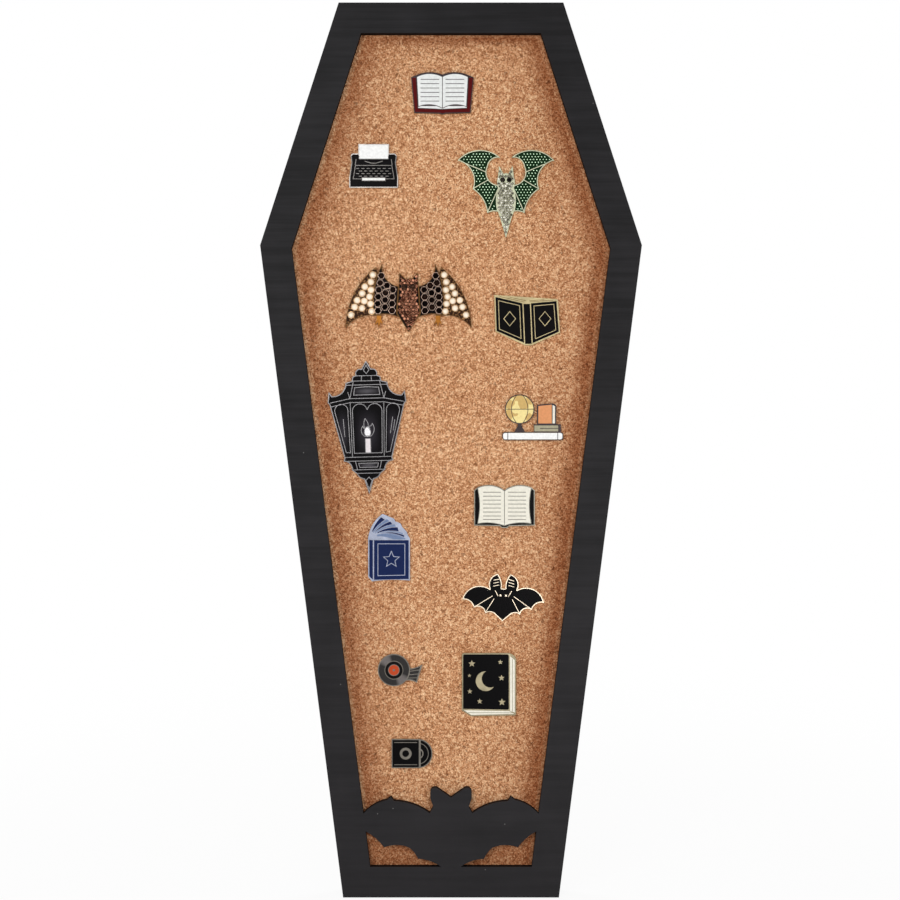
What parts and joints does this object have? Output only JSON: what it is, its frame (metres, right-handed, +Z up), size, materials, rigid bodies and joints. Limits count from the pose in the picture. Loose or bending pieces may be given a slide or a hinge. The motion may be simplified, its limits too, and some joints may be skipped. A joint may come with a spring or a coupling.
{
  "type": "cork pin board",
  "caption": "Coffin-shaped black wooden frame with a bat across its foot and a cork panel that holds enamel pins, each of which pulls out.",
  "frame": {"origin": "middle of the back panel's rear face, half way up the board", "axes": "+Z up the board, +X to the right seen from the front, +Y out of its back to the wall, so the cork faces -Y"},
  "size_m": [0.192, 0.0203, 0.45],
  "materials": {
    "black_painted_wood": "satin",
    "cork": "matte",
    "back_board": "matte",
    "zinc_steel": "satin",
    "black_rubber": "matte",
    "gold_plate": "gloss",
    "silver_plate": "gloss",
    "black_nickel": "gloss",
    "steel_post": "satin",
    "black_enamel": "gloss",
    "red_enamel": "gloss",
    "white_enamel": "gloss",
    "green_enamel": "gloss",
    "blue_enamel": "gloss",
    "pale_blue_enamel": "gloss",
    "mixed_enamel": "gloss",
    "cream_enamel": "gloss",
    "clear_stone": "gloss",
    "black_stone": "gloss",
    "white_stone": "gloss",
    "amber_stone": "gloss"
  },
  "bodies": {
    "board": {"back_panel": "back_board", "back_panel_screws": "zinc_steel", "cork_panel": "cork", "front_frame": "black_painted_wood", "hanger_nails": "zinc_steel", "rail_bottom": "black_painted_wood", "rail_lower_left": "black_painted_wood", "rail_lower_right": "black_painted_wood", "rail_top": "black_painted_wood", "rail_upper_left": "black_painted_wood", "rail_upper_right": "black_painted_wood", "sawtooth_hanger": "zinc_steel", "wall_bumpers": "black_rubber"},
    "red_book_pin": {"red_book_cover": "red_enamel", "red_book_pages": "white_enamel", "red_book_plate": "black_nickel", "red_book_posts": "steel_post"},
    "typewriter_pin": {"typewriter_enamel": "black_enamel", "typewriter_plate": "silver_plate", "typewriter_posts": "steel_post"},
    "green_bat_pin": {"green_bat_enamel": "green_enamel", "green_bat_plate": "gold_plate", "green_bat_posts": "steel_post", "green_bat_stones": "clear_stone"},
    "jewelled_bat_pin": {"jewelled_bat_amber_stones": "amber_stone", "jewelled_bat_black_stones": "black_stone", "jewelled_bat_enamel": "black_enamel", "jewelled_bat_plate": "gold_plate", "jewelled_bat_posts": "steel_post", "jewelled_bat_white_stones": "white_stone"},
    "black_book_pin": {"black_book_enamel": "black_enamel", "black_book_plate": "gold_plate", "black_book_posts": "steel_post"},
    "lantern_pin": {"lantern_enamel": "black_enamel", "lantern_plate": "silver_plate", "lantern_posts": "steel_post"},
    "shelf_pin": {"shelf_enamel": "mixed_enamel", "shelf_plate": "black_nickel", "shelf_posts": "steel_post"},
    "white_book_pin": {"white_book_cover": "black_enamel", "white_book_pages": "white_enamel", "white_book_plate": "silver_plate", "white_book_posts": "steel_post"},
    "blue_book_pin": {"blue_book_cover": "blue_enamel", "blue_book_pages": "pale_blue_enamel", "blue_book_plate": "silver_plate", "blue_book_posts": "steel_post"},
    "little_bat_pin": {"little_bat_enamel": "black_enamel", "little_bat_plate": "gold_plate", "little_bat_posts": "steel_post"},
    "record_pin": {"record_enamel": "black_enamel", "record_plate": "black_nickel", "record_posts": "steel_post"},
    "star_book_pin": {"star_book_cover": "black_enamel", "star_book_pages": "cream_enamel", "star_book_plate": "gold_plate", "star_book_posts": "steel_post"},
    "sleeve_pin": {"sleeve_enamel": "black_enamel", "sleeve_plate": "silver_plate", "sleeve_posts": "steel_post"}
  },
  "joints": [
    {"name": "red_book_pull", "type": "slide", "parent": "board", "child": "red_book_pin", "axis": [0, -1, 0], "range_m": [0, 0.012]},
    {"name": "typewriter_pull", "type": "slide", "parent": "board", "child": "typewriter_pin", "axis": [0, -1, 0], "range_m": [0, 0.012]},
    {"name": "green_bat_pull", "type": "slide", "parent": "board", "child": "green_bat_pin", "axis": [0, -1, 0], "range_m": [0, 0.012]},
    {"name": "jewelled_bat_pull", "type": "slide", "parent": "board", "child": "jewelled_bat_pin", "axis": [0, -1, 0], "range_m": [0, 0.012]},
    {"name": "black_book_pull", "type": "slide", "parent": "board", "child": "black_book_pin", "axis": [0, -1, 0], "range_m": [0, 0.012]},
    {"name": "lantern_pull", "type": "slide", "parent": "board", "child": "lantern_pin", "axis": [0, -1, 0], "range_m": [0, 0.012]},
    {"name": "shelf_pull", "type": "slide", "parent": "board", "child": "shelf_pin", "axis": [0, -1, 0], "range_m": [0, 0.012]},
    {"name": "white_book_pull", "type": "slide", "parent": "board", "child": "white_book_pin", "axis": [0, -1, 0], "range_m": [0, 0.012]},
    {"name": "blue_book_pull", "type": "slide", "parent": "board", "child": "blue_book_pin", "axis": [0, -1, 0], "range_m": [0, 0.012]},
    {"name": "little_bat_pull", "type": "slide", "parent": "board", "child": "little_bat_pin", "axis": [0, -1, 0], "range_m": [0, 0.012]},
    {"name": "record_pull", "type": "slide", "parent": "board", "child": "record_pin", "axis": [0, -1, 0], "range_m": [0, 0.012]},
    {"name": "star_book_pull", "type": "slide", "parent": "board", "child": "star_book_pin", "axis": [0, -1, 0], "range_m": [0, 0.012]},
    {"name": "sleeve_pull", "type": "slide", "parent": "board", "child": "sleeve_pin", "axis": [0, -1, 0], "range_m": [0, 0.012]}
  ]
}
